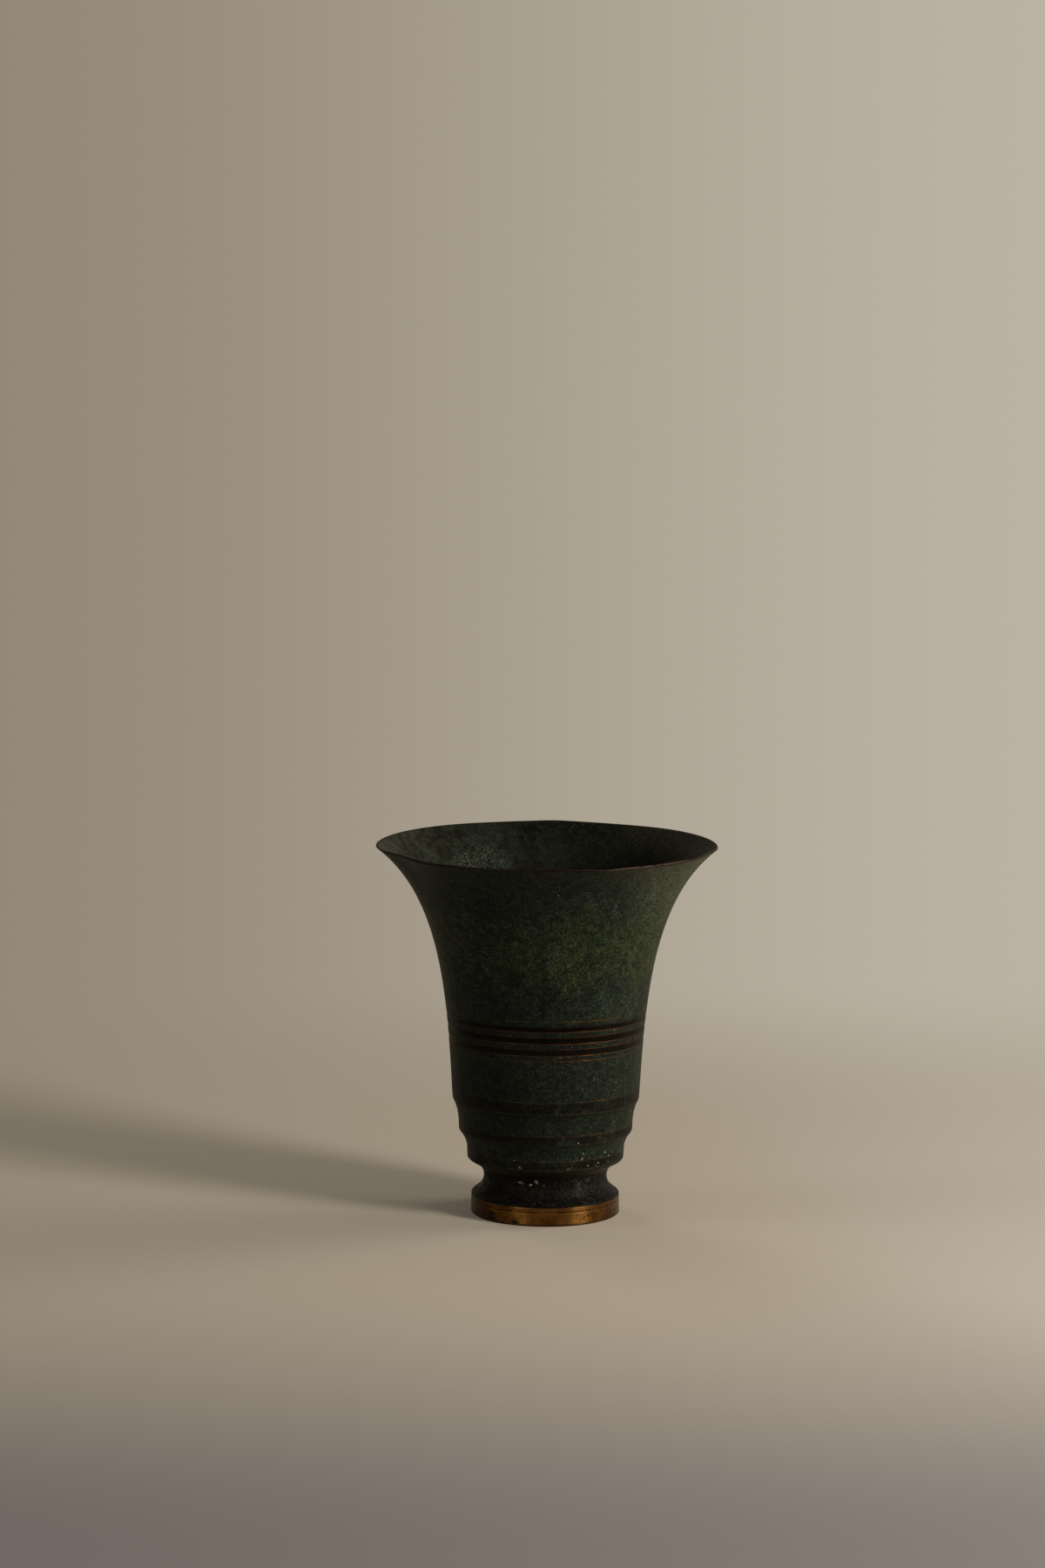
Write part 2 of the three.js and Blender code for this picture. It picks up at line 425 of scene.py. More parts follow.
class Nodes:
    """Short forms of the nodes that one material is built from"""

    def __init__(self, name):
        self.material = bpy.data.materials.new(name)
        self.material.use_nodes = True
        self.tree = self.material.node_tree
        self.tree.nodes.clear()
        self.output = self.add("ShaderNodeOutputMaterial")

    def add(self, kind, **settings):
        node = self.tree.nodes.new(kind)
        for key, value in settings.items():
            setattr(node, key, value)
        return node

    def feed(self, socket, value):
        """Links an output to a socket, or writes a value on it"""
        if isinstance(value, bpy.types.NodeSocket):
            self.tree.links.new(value, socket)
        elif value is not None:
            socket.default_value = value

    def place(self):
        """Position on the object in millimetres"""
        coordinates = self.add("ShaderNodeTexCoord")
        return self.stretch(coordinates.outputs["Object"], (1000, 1000, 1000))

    def stretch(self, vector, factors):
        node = self.add("ShaderNodeVectorMath", operation="MULTIPLY")
        self.feed(node.inputs[0], vector)
        node.inputs[1].default_value = factors
        return node.outputs[0]

    def parts(self, vector):
        node = self.add("ShaderNodeSeparateXYZ")
        self.feed(node.inputs[0], vector)
        return node.outputs[0], node.outputs[1], node.outputs[2]

    def noise(self, place, size, detail=2.0, roughness=0.5, distortion=0.0):
        """Cloudy value about 0.5, in clouds of about the given size"""
        node = self.add("ShaderNodeTexNoise")
        self.feed(node.inputs["Vector"], place)
        node.inputs["Scale"].default_value = 1 / size
        node.inputs["Detail"].default_value = detail
        node.inputs["Roughness"].default_value = roughness
        node.inputs["Distortion"].default_value = distortion
        return node.outputs["Fac"]

    def spots(self, place, size):
        """Distance to the nearest of scattered points"""
        node = self.add("ShaderNodeTexVoronoi")
        self.feed(node.inputs["Vector"], place)
        node.inputs["Scale"].default_value = 1 / size
        return node.outputs["Distance"]

    def math(self, operation, first, second=None):
        node = self.add("ShaderNodeMath", operation=operation)
        self.feed(node.inputs[0], first)
        self.feed(node.inputs[1], second)
        return node.outputs[0]

    def plus(self, first, second):
        return self.math("ADD", first, second)

    def minus(self, first, second):
        return self.math("SUBTRACT", first, second)

    def times(self, first, second):
        return self.math("MULTIPLY", first, second)

    def most(self, values):
        total = values[0]
        for value in values[1:]:
            total = self.math("MAXIMUM", total, value)
        return total

    def swing(self, cloud, amount):
        """A cloudy value made to swing about 0 by an amount"""
        return self.times(self.minus(cloud, 0.5), amount)

    def step(self, value, low, high):
        """0 up to low and 1 from high on, or falling where low is the larger"""
        node = self.add("ShaderNodeMapRange", interpolation_type="SMOOTHSTEP")
        self.feed(node.inputs["Value"], value)
        node.inputs["From Min"].default_value = low
        node.inputs["From Max"].default_value = high
        return node.outputs["Result"]

    def near(self, value, middle, half_width, fade):
        """1 within half_width of the middle, falling to 0 over fade"""
        off = self.math("ABSOLUTE", self.minus(value, middle))
        return self.step(off, half_width + fade, half_width)

    def around(self, place, point, reach, fade):
        """1 within reach of a point, falling to 0 over fade"""
        node = self.add("ShaderNodeVectorMath", operation="DISTANCE")
        self.feed(node.inputs[0], place)
        node.inputs[1].default_value = point
        return self.step(node.outputs["Value"], reach + fade, reach)

    def blend(self, share, first, second):
        """Number between two others"""
        node = self.add("ShaderNodeMix", data_type="FLOAT")
        self.feed(node.inputs[0], share)
        self.feed(node.inputs[2], first)
        self.feed(node.inputs[3], second)
        return node.outputs[0]

    def mix(self, share, first, second, blend="MIX"):
        """Colour between two others"""
        node = self.add("ShaderNodeMix", data_type="RGBA", blend_type=blend)
        self.feed(node.inputs[0], share)
        self.feed(node.inputs[6], first)
        self.feed(node.inputs[7], second)
        return node.outputs[2]

    def tone(self, share, colour, factors):
        """Colour made lighter or darker by a factor for each channel"""
        return self.mix(share, colour, (*factors, 1), blend="MULTIPLY")

    def relief(self, height, distance, strength):
        """Normal of a fine relief, its depth in millimetres"""
        node = self.add("ShaderNodeBump")
        node.inputs["Strength"].default_value = strength
        node.inputs["Distance"].default_value = distance * MM
        self.feed(node.inputs["Height"], height)
        return node.outputs["Normal"]

    def surface(self, colour, roughness, metallic=0.0, normal=None, specular=0.5):
        """The finished material"""
        shader = self.add("ShaderNodeBsdfPrincipled")
        self.feed(shader.inputs["Base Color"], colour)
        self.feed(shader.inputs["Roughness"], roughness)
        self.feed(shader.inputs["Metallic"], metallic)
        self.feed(shader.inputs["Normal"], normal)
        shader.inputs["Specular IOR Level"].default_value = specular
        self.tree.links.new(shader.outputs[0], self.output.inputs["Surface"])
        self.shader = shader
        return self.material

    def dusty_edges(self, amount, tint):
        """Faint glow where the surface turns away, as on any powdery patina"""
        self.shader.inputs["Sheen Weight"].default_value = amount
        self.shader.inputs["Sheen Roughness"].default_value = 0.38
        self.shader.inputs["Sheen Tint"].default_value = tint

    def turned_finish(self, amount):
        """Draws highlights out along the axis, across the fine marks of the lathe"""
        tangent = self.add("ShaderNodeTangent", direction_type="RADIAL", axis="Z")
        self.feed(self.shader.inputs["Tangent"], tangent.outputs[0])
        self.shader.inputs["Anisotropic"].default_value = amount
        self.shader.inputs["Anisotropic Rotation"].default_value = 0.25

    def crossfade(self, share, first, second):
        """Result that goes from one shader to another"""
        blend = self.add("ShaderNodeMixShader")
        self.feed(blend.inputs[0], share)
        self.feed(blend.inputs[1], first.outputs[0])
        self.feed(blend.inputs[2], second.outputs[0])
        self.tree.links.new(blend.outputs[0], self.output.inputs["Surface"])


def rough_patina(g):
    """Masks that the green patinas share: grain, crawling threads, pale dots, and clouds of several sizes"""
    place = g.place()
    x, _, height = g.parts(place)
    crawl = g.noise(place, 2.0, detail=2, roughness=0.55, distortion=1.6)
    return SimpleNamespace(
        place=place,
        x=x,
        height=height,
        grain=g.noise(g.stretch(place, (1, 1, 0.78)), 0.85, detail=1.0, roughness=0.65, distortion=0.3),
        thread=g.near(crawl, 0.5, 0.008, 0.026),
        dots=g.step(g.spots(place, 2.4), 0.17, 0.08),
        fine=g.noise(place, 1.1, detail=2),
        patch=g.noise(place, 3.6, detail=3, roughness=0.62),
        cloud=g.noise(place, 9, detail=4, roughness=0.6),
        drift=g.noise(place, 30, detail=3),
    )


def grained(g, m, ground, film, light):
    """Dark ground that shows through a film, with lighter grains on it"""
    mottle = g.plus(m.grain, g.swing(m.patch, 0.16))
    colour = g.mix(g.step(mottle, 0.36, 0.58), ground, film)
    return g.mix(g.times(g.step(mottle, 0.51, 0.73), 0.95), colour, light)


# Middles of the bluish powder on the outside, most of it high on the right of the flare
POWDER = ((49.5, -41.5, 155.5), (24.0, -60.4, 156.0), (30.0, -54.0, 151.0), (-20.0, -44.5, 112.0))

# Middles of the lighter clouds on the front, and of a darker one low on the flare
LIGHT_CLOUDS = (
    (7.0, -49.0, 130.0),
    (35.0, -29.5, 105.0),
    (15.0, -58.5, 151.0),
    (14.0, -33.3, 34.0),
    (-25.6, -25.6, 34.0),
    (27.0, -35.0, 102.0),
)
DARK_CLOUD = (-10.0, -44.0, 109.0)


def outside_masks(g):
    """The shared masks and the outside's own: ragged coordinates, zones, and a brown that two steps use"""
    m = rough_patina(g)
    wobble = g.swing(m.patch, 0.3)
    m.level = g.plus(m.height, wobble)
    m.soft_level = g.plus(m.height, g.times(wobble, 2.2))
    m.ragged = g.swing(m.cloud, 34)
    m.across = g.plus(m.x, m.ragged)
    m.upward = g.plus(m.height, m.ragged)
    # sunny is 1 on the right, where the key lamp falls, and 0 on the left; the patina is painted lighter
    # there, partly real patina and partly painted light
    m.sunny = g.step(m.across, -34, 14)
    m.olive_zone = g.near(g.plus(m.height, g.times(m.ragged, 0.7)), 129, 11, 10)
    m.pale_zone = g.times(g.step(m.upward, 128, 156), g.near(m.x, 60, 10, 22))
    m.brown = grained(g, m, srgb(20, 18, 13), srgb(29, 26, 19), srgb(41, 36, 28))
    return m


def greens(g, m):
    """Greens and browns of the outside, zone by zone"""
    green = grained(g, m, srgb(18, 21, 18), srgb(25, 30, 25), srgb(39, 47, 37))
    olive = grained(g, m, srgb(22, 25, 16), srgb(33, 39, 24), srgb(58, 67, 40))
    teal = grained(g, m, srgb(16, 18, 17), srgb(22, 27, 24), srgb(35, 44, 39))
    ochre = grained(g, m, srgb(21, 21, 13), srgb(31, 31, 19), srgb(49, 47, 31))
    pale = grained(g, m, srgb(37, 39, 30), srgb(54, 59, 45), srgb(79, 87, 69))

    # Painted light: more of the lighter olive on the lit right side, partly real patina
    colour = g.mix(g.times(m.olive_zone, g.blend(m.sunny, 0.3, 0.95)), green, olive)
    teal_drift = g.step(m.drift, 0.50, 0.60)
    teal_zone = g.times(g.step(m.upward, 114, 102), g.step(m.x, 42, 12))
    colour = g.mix(g.most([g.times(teal_drift, 0.6), g.times(teal_zone, 0.6)]), colour, teal)
    brown_cloud = g.noise(g.stretch(m.place, (1, 1, 0.6)), 14, detail=4, roughness=0.6)
    brown_share = g.times(g.step(brown_cloud, 0.54, 0.66), g.blend(m.sunny, 0.8, 0.4))
    colour = g.mix(brown_share, colour, m.brown)
    dull_levels = g.near(g.plus(m.height, g.times(m.ragged, 0.5)), 150, 6, 8)
    dull_zone = g.times(dull_levels, g.near(m.x, -8, 16, 14))
    colour = g.mix(g.times(dull_zone, 0.45), colour, teal)
    colour = g.mix(g.times(m.pale_zone, 0.8), colour, pale)
    tint = g.noise(m.place, 5, detail=4, roughness=0.65)
    colour = g.mix(g.times(g.step(tint, 0.51, 0.62), 0.4), colour, teal)
    return g.mix(g.times(g.step(tint, 0.49, 0.38), 0.35), colour, ochre)


def speckled(g, m, colour):
    """Threads, flakes, vivid grains, powder and dots on the outside"""
    threads = g.times(m.thread, g.step(m.patch, 0.4, 0.58))
    thread_share = g.blend(g.most([m.olive_zone, m.pale_zone]), 0.3, 0.65)
    colour = g.mix(g.times(threads, thread_share), colour, srgb(70, 82, 52))
    flakes = g.times(g.step(m.fine, 0.6, 0.7), g.step(m.patch, 0.48, 0.6))
    colour = g.mix(g.times(flakes, 0.5), colour, srgb(50, 80, 66))
    vivid_grain = g.step(g.noise(m.place, 1.3, detail=3, roughness=0.65), 0.58, 0.68)
    vivid_zone = g.most([g.times(g.step(m.drift, 0.4, 0.55), 0.8), g.near(m.height, 34, 3.5, 1.5)])
    vivid = g.times(vivid_grain, vivid_zone)
    # Painted light: more vivid green on the lit right side
    colour = g.mix(g.times(vivid, g.blend(m.sunny, 0.25, 0.55)), colour, srgb(35, 75, 54))
    powder = g.most([g.around(m.place, middle, 1, 9) for middle in POWDER])
    powder = g.times(powder, g.step(m.patch, 0.4, 0.6))
    grit = g.step(g.noise(m.place, 1.1, detail=2, roughness=0.65), 0.52, 0.66)
    colour = g.mix(g.times(powder, g.blend(grit, 0.08, 0.55)), colour, srgb(66, 80, 68))
    dots = g.times(m.dots, g.step(g.noise(m.place, 7, detail=2), 0.6, 0.66))
    return g.mix(g.times(dots, 0.55), colour, srgb(104, 122, 98))


def clouded(g, m, colour):
    """Lighter and darker clouds on the outside, and painted shade on its left side below the grooves"""
    # Painted shade: the lower trunk is darkened on its left, the side away from the key lamp
    painted_shade = g.times(g.step(m.height, 84, 70), g.step(m.across, 12, -18))
    colour = g.tone(g.times(painted_shade, 0.4), colour, (0.45, 0.45, 0.42))
    light = g.most([g.around(m.place, middle, 3, 12) for middle in LIGHT_CLOUDS])
    light = g.times(light, g.step(m.cloud, 0.3, 0.5))
    colour = g.tone(light, colour, (1.35, 1.35, 1.3))
    dark = g.times(g.around(m.place, DARK_CLOUD, 6, 15), g.step(m.cloud, 0.62, 0.4))
    return g.tone(g.times(dark, 0.8), colour, (0.5, 0.5, 0.52))


def darkened(g, m, colour):
    """Keeps belt, grooves, bands and neck dark, paints shade under two tier corners, and gives the masks of
    grooves and bands too
    """
    streak = g.noise(g.stretch(m.place, (0.2, 0.2, 1)), 1.2, detail=3)
    dark = g.mix(g.step(streak, 0.4, 0.65), srgb(12, 8, 6), srgb(25, 17, 12))
    belt = g.near(m.level, (GROOVES[0][0] + GROOVES[-1][1]) / 2, 7, 2)
    colour = g.mix(g.times(belt, g.blend(g.step(m.x, 16, 34), 0.35, 0.08)), colour, srgb(15, 13, 9))

    # The lowest groove is greyer than the others, and the middle one darker
    grooves = g.most([
        g.times(g.step(m.soft_level, high + 0.5, high - 0.75), g.step(m.level, low, low + 0.25))
        for high, low in GROOVES
    ])
    grooves = g.times(grooves, 0.95)
    lowest = g.times(g.step(m.level, 85.5, 84.0), 0.7)
    middle = g.times(g.near(m.level, 87.9, 1.2, 0.5), 0.4)
    groove_colour = g.mix(middle, g.mix(lowest, dark, srgb(21, 19, 14)), srgb(12, 8, 5))
    colour = g.mix(grooves, colour, groove_colour)

    bands = g.most([
        g.near(m.level, (line + edge) / 2, (line - edge) / 2 - 0.9, 0.9)
        for line, (_, edge) in zip(TIER_LINES, TIER_EDGES)
    ])
    bands = g.times(g.times(bands, g.step(m.cloud, 0.72, 0.45)), 0.8)
    colour = g.mix(bands, colour, g.mix(0.35, dark, m.brown))
    soot = g.mix(g.step(m.grain, 0.5, 0.66), srgb(7, 6, 5), srgb(17, 17, 14))
    colour = g.mix(g.times(g.step(m.level, 26.0, 25.0), 0.92), colour, soot)
    # Painted shade just under the lower edges of the two upper tiers
    painted_shade_under_corners = g.most([g.near(m.level, edge - 0.9, 0.3, 0.8) for _, edge in TIER_EDGES[:2]])
    colour = g.mix(g.times(painted_shade_under_corners, 0.4), colour, srgb(10, 9, 6))
    return colour, grooves, bands


def scraped(g, m, colour):
    """Brown lip, and bare metal on lines, groove edges and tier corners, shown most at two painted
    highlights, and gives the metal's mask too
    """
    lip = g.step(g.plus(m.height, g.times(m.ragged, 0.05)), 169.2, 170.0)
    colour = g.mix(g.times(lip, 0.8), colour, srgb(22, 15, 10))

    cuts = [g.near(m.level, line, 0.08, 0.2) for line in TRUNK_LINES]
    cuts += [g.near(m.level, line, 0.03, 0.15) for line in TIER_LINES]
    cuts += [g.near(m.level, low - 0.08, 0.08, 0.22) for _, low in GROOVES]
    cuts += [g.near(m.level, high + 0.08, 0.04, 0.16) for high, _ in GROOVES[1:]]
    cuts += [g.times(g.near(m.level, edge + 0.1, 0.08, 0.4), 0.18) for _, edge in TIER_EDGES]
    patchy_share = g.step(g.noise(g.stretch(m.place, (1, 1, 0.3)), 3.0, detail=4, roughness=0.7), 0.28, 0.62)
    cut = g.times(g.most(cuts), patchy_share)
    colour = g.mix(g.times(cut, g.blend(g.step(m.x, -38, -20), 0.35, 0.75)), colour, srgb(54, 33, 15))

    # Painted highlight: the lines are bared most at two spots on the front, where the key lamp's and the
    # glint's highlights fall, partly wear
    across = g.plus(m.x, g.times(m.ragged, 0.3))
    rub_and_painted_light = g.most([g.near(across, 19.5, 4, 12), g.times(g.near(across, -15, 2, 5), 0.35)])
    bare_metal_and_highlight = g.times(cut, g.blend(rub_and_painted_light, 0.08, 0.85))
    metal = g.mix(g.step(m.cloud, 0.35, 0.6), srgb(66, 43, 20), srgb(106, 72, 34))
    return g.mix(bare_metal_and_highlight, colour, metal), bare_metal_and_highlight


def outside_patina():
    """Green patina with dark bands, and bare metal on the lines and edges"""
    g = Nodes("green_patina_outside")
    m = outside_masks(g)
    colour = clouded(g, m, speckled(g, m, greens(g, m)))
    colour, grooves, bands = darkened(g, m, colour)
    colour, bare_metal_and_highlight = scraped(g, m, colour)
    rough = g.blend(bare_metal_and_highlight, g.blend(g.step(m.grain, 0.4, 0.65), 0.55, 0.7), 0.42)
    metal = g.most([g.times(bare_metal_and_highlight, 0.85), g.times(grooves, 0.9), g.times(bands, 0.6)])
    bumps = g.plus(g.plus(m.grain, g.times(m.thread, 0.25)), m.patch)
    material = g.surface(colour, rough, metal, g.relief(bumps, 0.11, 0.42), specular=0.05)
    g.dusty_edges(0.045, (1.0, 0.78, 0.5, 1))
    return material


# Middle of the pale deposit on the inner wall, where water stood against it
DEPOSIT = (-31.5, 52.0, 151.5)


def inside_patina():
    """Greener, duller patina inside, with a pale mineral deposit and painted light on its left wall"""
    g = Nodes("green_patina_inside")
    m = rough_patina(g)
    green = grained(g, m, srgb(25, 29, 23), srgb(31, 36, 28), srgb(42, 49, 39))
    brown = grained(g, m, srgb(18, 18, 13), srgb(24, 24, 17), srgb(32, 33, 25))
    smear = g.noise(g.stretch(m.place, (1, 1, 0.35)), 11, detail=3, roughness=0.55)
    brown_share = g.most([g.step(smear, 0.48, 0.58), g.times(g.step(m.x, -12, 22), 0.75)])
    colour = g.mix(brown_share, green, brown)
    colour = g.mix(g.times(g.step(m.patch, 0.54, 0.66), 0.2), colour, srgb(40, 34, 26))

    # Rubbed wall near the lip at the right, painted light on the inner left wall where the key lamp shines
    # in, and a darker stretch below the lip at the middle
    rubbed_right = g.times(g.step(m.x, 26, 62), g.step(m.height, 154, 168))
    rub_and_painted_light = g.most([g.times(g.step(m.x, -66, -75), 0.45), rubbed_right])
    rub_and_painted_light = g.times(rub_and_painted_light, g.step(m.grain, 0.25, 0.72))
    colour = g.mix(g.times(rub_and_painted_light, 0.75), colour, srgb(72, 68, 55))
    # Painted light: lighter patches over the inner left wall
    patchy_share = g.times(g.step(m.x, -34, -64), g.step(m.patch, 0.38, 0.62))
    colour = g.mix(g.times(patchy_share, 0.32), colour, srgb(62, 60, 48))
    middle = g.times(g.near(m.x, 4, 14, 16), g.step(m.height, 158, 168))
    colour = g.tone(g.times(middle, 0.6), colour, (0.5, 0.5, 0.5))

    threads = g.times(m.thread, g.step(m.patch, 0.45, 0.6))
    colour = g.mix(g.times(threads, 0.35), colour, srgb(68, 82, 62))
    flakes = g.times(g.step(m.fine, 0.6, 0.7), g.step(m.patch, 0.5, 0.62))
    colour = g.mix(g.times(flakes, 0.4), colour, srgb(58, 80, 68))
    stain = g.around(m.place, DEPOSIT, 4, 16)
    crust = g.step(g.plus(m.grain, g.times(m.cloud, 0.5)), 0.72, 0.95)
    colour = g.mix(g.times(g.times(stain, crust), 0.62), colour, srgb(94, 106, 92))
    dots = g.times(m.dots, g.step(m.cloud, 0.56, 0.64))
    colour = g.mix(g.times(dots, 0.5), colour, srgb(100, 104, 84))
    bumps = g.plus(m.grain, g.times(m.patch, 0.8))
    return g.surface(colour, 0.58, 0.0, g.relief(bumps, 0.1, 0.35), specular=0.08)


# Middle of the stretch of lip that is painted lightest, a painted highlight on the rubbed edge
LIP_HIGHLIGHT_MIDDLE = (46, -62, 170)


def worn_lip():
    """Thin edge of the rim, rubbed to a dark reddish brown, with a painted highlight on its front right"""
    g = Nodes("worn_lip")
    place = g.place()
    rub = g.noise(place, 4, detail=4, roughness=0.65)
    colour = g.mix(g.step(rub, 0.35, 0.68), srgb(17, 11, 8), srgb(35, 23, 16))
    # Painted highlight: a lighter stretch of the lip at the front right
    painted_lip_highlight = g.times(g.around(place, LIP_HIGHLIGHT_MIDDLE, 12, 16), g.step(rub, 0.3, 0.6))
    colour = g.mix(g.times(painted_lip_highlight, 0.7), colour, srgb(74, 52, 40))
    return g.surface(colour, 0.5, 0.1, g.relief(rub, 0.05, 0.4), specular=0.15)


# Middles of the pale green bloom on the front of the foot; the lowest is a painted highlight
BLOOMS_AND_HIGHLIGHT = ((14.8, -24.7, 18.7), (19.0, -21.9, 19.3), (16.0, -25.4, 14.2))


def black_patina():
    """Blackish patina of the foot, uneven in gloss, with a green and brown bloom, and painted light and a
    painted highlight on its right
    """
    g = Nodes("black_patina")
    place = g.place()
    x, _, _ = g.parts(place)
    cloud = g.noise(place, 7, detail=4, roughness=0.65)
    grain = g.noise(place, 1.3, detail=4, roughness=0.7)
    speck = g.noise(place, 1.5, detail=3, roughness=0.75)
    bloom = g.noise(g.stretch(place, (1, 1, 1.5)), 3.4, detail=4, roughness=0.7)
    colour = g.mix(g.step(cloud, 0.42, 0.6), srgb(8, 7, 5), srgb(18, 16, 13))
    colour = g.mix(g.times(g.step(grain, 0.54, 0.68), 0.65), colour, srgb(33, 36, 34))
    colour = g.mix(g.times(g.step(bloom, 0.56, 0.68), 0.5), colour, srgb(28, 36, 29))
    # Pale specks thin out to the left: partly the real bloom, partly painted shade on the foot's left and
    # painted light on its right
    speck_share_with_painted_light = g.blend(g.step(g.plus(x, g.times(cloud, 20)), -14, 12), 0.12, 0.5)
    colour = g.mix(g.times(g.step(speck, 0.51, 0.63), speck_share_with_painted_light), colour, srgb(52, 48, 42))
    colour = g.mix(g.times(g.step(speck, 0.46, 0.36), 0.6), colour, srgb(4, 4, 3))
    # Pale bloom, and a painted highlight at the lowest middle
    for middle in BLOOMS_AND_HIGHLIGHT:
        near = g.times(g.around(place, middle, 0.4, 3.0), g.step(bloom, 0.44, 0.6))
        colour = g.mix(g.times(near, g.blend(g.step(speck, 0.4, 0.6), 0.35, 0.85)), colour, srgb(66, 76, 68))
    rough = g.blend(g.step(bloom, 0.4, 0.62), 0.38, 0.72)
    bumps = g.plus(grain, g.times(bloom, 1.5))
    return g.surface(colour, rough, 0.0, g.relief(bumps, 0.3, 0.8), specular=0.06)


# Dark blotches on the front of the brass ring: middle, reach and fade
BLOTCHES = (((-24.6, -23.8, 2.8), 1.2, 3.0), ((-13.9, -31.3, 1.2), 1.0, 2.6))
LEAST_TARNISH = 0.05

# Middle of the most worn stretch of the ring
WORN_SPOT = (18.6, -28.6, 4.0)


def bare_brass():
    """Handled brass of the foot ring, with turning streaks and dark blemishes"""
    g = Nodes("bare_brass")
    place = g.place()
    x, _, level = g.parts(place)
    turning = g.noise(g.stretch(place, (0.03, 0.03, 1)), 0.3, detail=3, roughness=0.65)
    cloud = g.noise(place, 7, detail=4, roughness=0.6)
    blemish = g.noise(g.stretch(place, (1, 1, 1.3)), 2.2, detail=4, roughness=0.7)
    colour = g.mix(g.step(cloud, 0.35, 0.65), srgb(93, 63, 28), srgb(131, 88, 35))
    colour = g.mix(g.times(g.step(turning, 0.45, 0.7), 0.6), colour, srgb(58, 38, 16))

    # Tarnish at the left and right, in blemishes, pits and blotches, and along the edges
    pits = g.times(g.around(place, WORN_SPOT, 3.5, 3), g.step(g.spots(place, 1.1), 0.4, 0.28))
    edges = g.most([g.step(level, 1.5, 0.4), g.times(g.near(level, RING_LINE + 1, 0.2, 0.6), 0.4)])
    tarnish = g.most([
        g.times(g.step(x, -18, -32), 0.8),
        g.times(g.step(x, 22, 31), 0.3),
        g.times(g.step(blemish, 0.56, 0.68), 0.7),
        g.times(pits, 0.9),
        *[g.times(g.around(place, *blotch), g.step(blemish, 0.35, 0.5)) for blotch in BLOTCHES],
        g.times(edges, 0.85),
        LEAST_TARNISH,
    ])
    colour = g.mix(tarnish, colour, srgb(38, 29, 19))

    # Cut line with a polished edge under it, the duller lower part, and a painted reflection that brightens
    # the middle
    line = g.times(g.near(level, RING_LINE, 0.18, 0.12), g.blend(g.step(cloud, 0.62, 0.4), 0.35, 0.95))
    colour = g.mix(line, colour, srgb(12, 8, 5))
    polished = g.near(level, RING_LINE - 0.55, 0.08, 0.15)
    colour = g.mix(g.times(polished, 0.5), colour, srgb(150, 104, 42))
    colour = g.tone(g.step(level, 6.2, 3.0), colour, (0.9, 0.9, 0.9))
    # Painted reflection: the middle of the front is lightened
    colour = g.tone(g.near(x, 1, 3, 9), colour, (1.3, 1.3, 1.6))
    metal = g.blend(tarnish, 0.95, 0.6)
    rough = g.blend(tarnish, g.blend(g.step(turning, 0.3, 0.7), 0.43, 0.53), 0.6)
    bumps = g.plus(turning, g.times(blemish, 0.8))
    material = g.surface(colour, rough, metal, g.relief(bumps, 0.02, 0.6), specular=0.15)
    g.turned_finish(0.85)
    return material


def lime():
    """Chalky specks that stick to the lower tiers"""
    g = Nodes("lime")
    colour = g.mix(g.step(g.noise(g.place(), 0.5), 0.4, 0.6), srgb(88, 86, 64), srgb(140, 136, 108))
    return g.surface(colour, 0.85, specular=0.2)


def dull_solder():
    """Soft solder, grey and uneven"""
    g = Nodes("dull_solder")
    cloud = g.noise(g.place(), 1.5, detail=4, roughness=0.6)
    colour = g.mix(g.step(cloud, 0.35, 0.65), srgb(88, 88, 86), srgb(138, 138, 134))
    return g.surface(colour, g.blend(cloud, 0.35, 0.6), 0.9, g.relief(cloud, 0.15, 0.6))


# Lime specks, where they sit: azimuth in degrees, level, width and height in millimetres
FLECKS = (
    (291.5, 39.5, 0.7, 0.7), (297.5, 33.75, 0.8, 0.9), (303.0, 31.5, 0.5, 0.4), (293.0, 30.8, 0.4, 0.3),
    (297.0, 31.1, 0.8, 1.2), (302.0, 27.75, 0.6, 0.6), (317.5, 32.8, 1.7, 0.7), (322.5, 30.8, 0.7, 0.6),
    (326.5, 32.0, 0.7, 0.6), (311.5, 28.3, 0.9, 0.7), (309.5, 27.4, 0.6, 0.5), (322.0, 27.8, 0.6, 0.6),
    (286.5, 27.0, 2.2, 0.22), (289.5, 27.4, 0.8, 0.22), (246.5, 30.5, 0.5, 0.4), (251.0, 27.4, 1.0, 1.0),
    (246.0, 18.8, 2.0, 0.9), (249.0, 18.3, 0.7, 0.6), (256.0, 17.9, 1.5, 1.0), (261.5, 19.6, 1.5, 1.6),
    (268.5, 17.8, 0.6, 0.4), (274.0, 157.5, 0.6, 0.6), (312.0, 91.3, 0.7, 0.5), (278.0, 80.2, 1.5, 0.3),
    (84.0, 31.5, 1.0, 0.8), (101.0, 28.2, 0.7, 0.6), (132.0, 33.4, 0.8, 0.7), (58.0, 17.0, 0.8, 0.6),
)
FLECK_SCALE = 0.54
FLECK_SIDES = 12

# Layers of a speck's dome: height over the wall in millimetres, and share of the speck's size
FLECK_RISE = 0.18
FLECK_LAYERS = ((-0.15, 1.0), (0.0, 1.0), (FLECK_RISE * 0.7, 0.75), (FLECK_RISE, 0.35))


